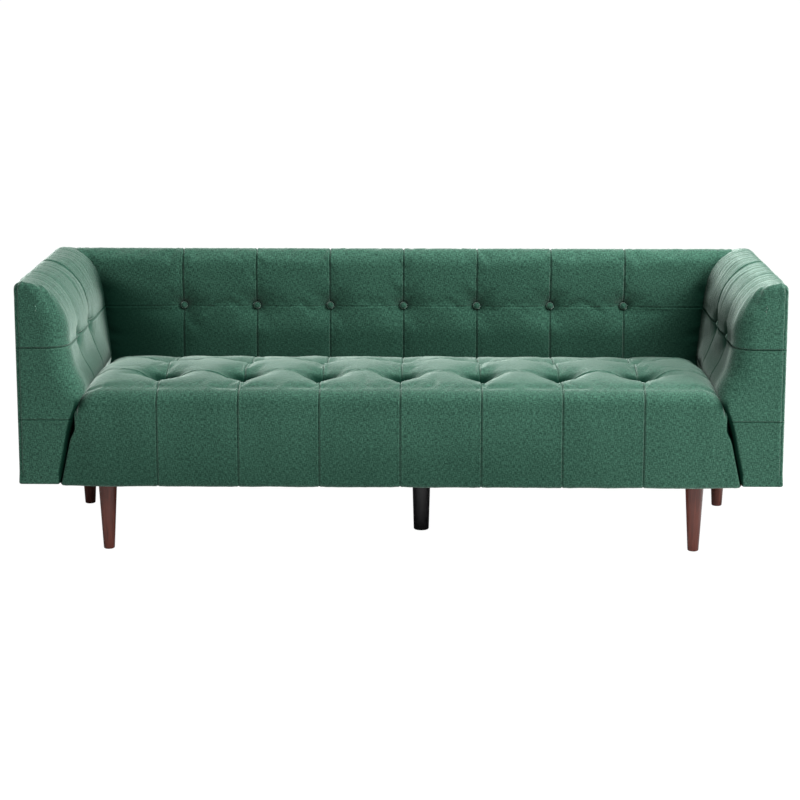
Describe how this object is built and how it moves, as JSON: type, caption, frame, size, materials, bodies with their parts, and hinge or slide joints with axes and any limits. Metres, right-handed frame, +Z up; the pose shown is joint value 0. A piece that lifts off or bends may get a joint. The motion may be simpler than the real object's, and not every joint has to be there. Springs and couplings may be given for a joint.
{
  "type": "sofa",
  "caption": "Low square-armed sofa in green velvet with a grid-tufted seat, buttoned back and arms, on turned wooden legs",
  "frame": {"origin": "on the floor, under the middle of the sofa's box", "axes": "+X to the right of someone looking at the front, +Y to the rear, +Z up"},
  "size_m": [2.06, 0.8, 0.755],
  "materials": {
    "velvet": "short pile velvet, dark green, soft sheen",
    "mahogany": "red-brown stained hardwood, satin lacquer",
    "black_wood": "black stained hardwood, satin",
    "timber": "sawn pine, bare",
    "board": "hardboard, bare",
    "spring_steel": "oiled spring wire and zinc plated bolts",
    "dust_cloth": "black non-woven cloth, matte",
    "black_plastic": "moulded, satin"
  },
  "bodies": {
    "root": {"arm_button_left_1": "velvet", "arm_button_left_2": "velvet", "arm_button_right_1": "velvet", "arm_button_right_2": "velvet", "arm_pad_left": "velvet", "arm_pad_right": "velvet", "arm_panel_left": "board", "arm_panel_right": "board", "arm_post_front_left": "timber", "arm_post_front_right": "timber", "arm_post_rear_left": "timber", "arm_post_rear_right": "timber", "arm_rail_bottom_left": "timber", "arm_rail_bottom_right": "timber", "arm_rail_top_left": "timber", "arm_rail_top_right": "timber", "back_button_1": "velvet", "back_button_2": "velvet", "back_button_3": "velvet", "back_button_4": "velvet", "back_button_5": "velvet", "back_button_6": "velvet", "back_button_7": "velvet", "back_pad": "velvet", "back_panel": "board", "back_rail_bottom": "timber", "back_rail_top": "timber", "back_stile": "timber", "centre_rail": "timber", "cross_rail_left": "timber", "cross_rail_right": "timber", "dust_cover": "dust_cloth", "glide_front_left": "black_plastic", "glide_front_right": "black_plastic", "glide_rear_left": "black_plastic", "glide_rear_right": "black_plastic", "hanger_bolt_front_left": "spring_steel", "hanger_bolt_front_right": "spring_steel", "hanger_bolt_middle": "spring_steel", "hanger_bolt_rear_left": "spring_steel", "hanger_bolt_rear_right": "spring_steel", "leg_block_left": "timber", "leg_block_right": "timber", "leg_front_left": "mahogany", "leg_front_right": "mahogany", "leg_middle": "black_wood", "leg_rear_left": "mahogany", "leg_rear_right": "mahogany", "seat_pad": "velvet", "seat_rail_front": "timber", "seat_rail_left": "timber", "seat_rail_rear": "timber", "seat_rail_right": "timber", "zigzag_spring_1": "spring_steel", "zigzag_spring_2": "spring_steel", "zigzag_spring_3": "spring_steel", "zigzag_spring_4": "spring_steel", "zigzag_spring_5": "spring_steel", "zigzag_spring_6": "spring_steel", "zigzag_spring_7": "spring_steel"}
  },
  "joints": []
}
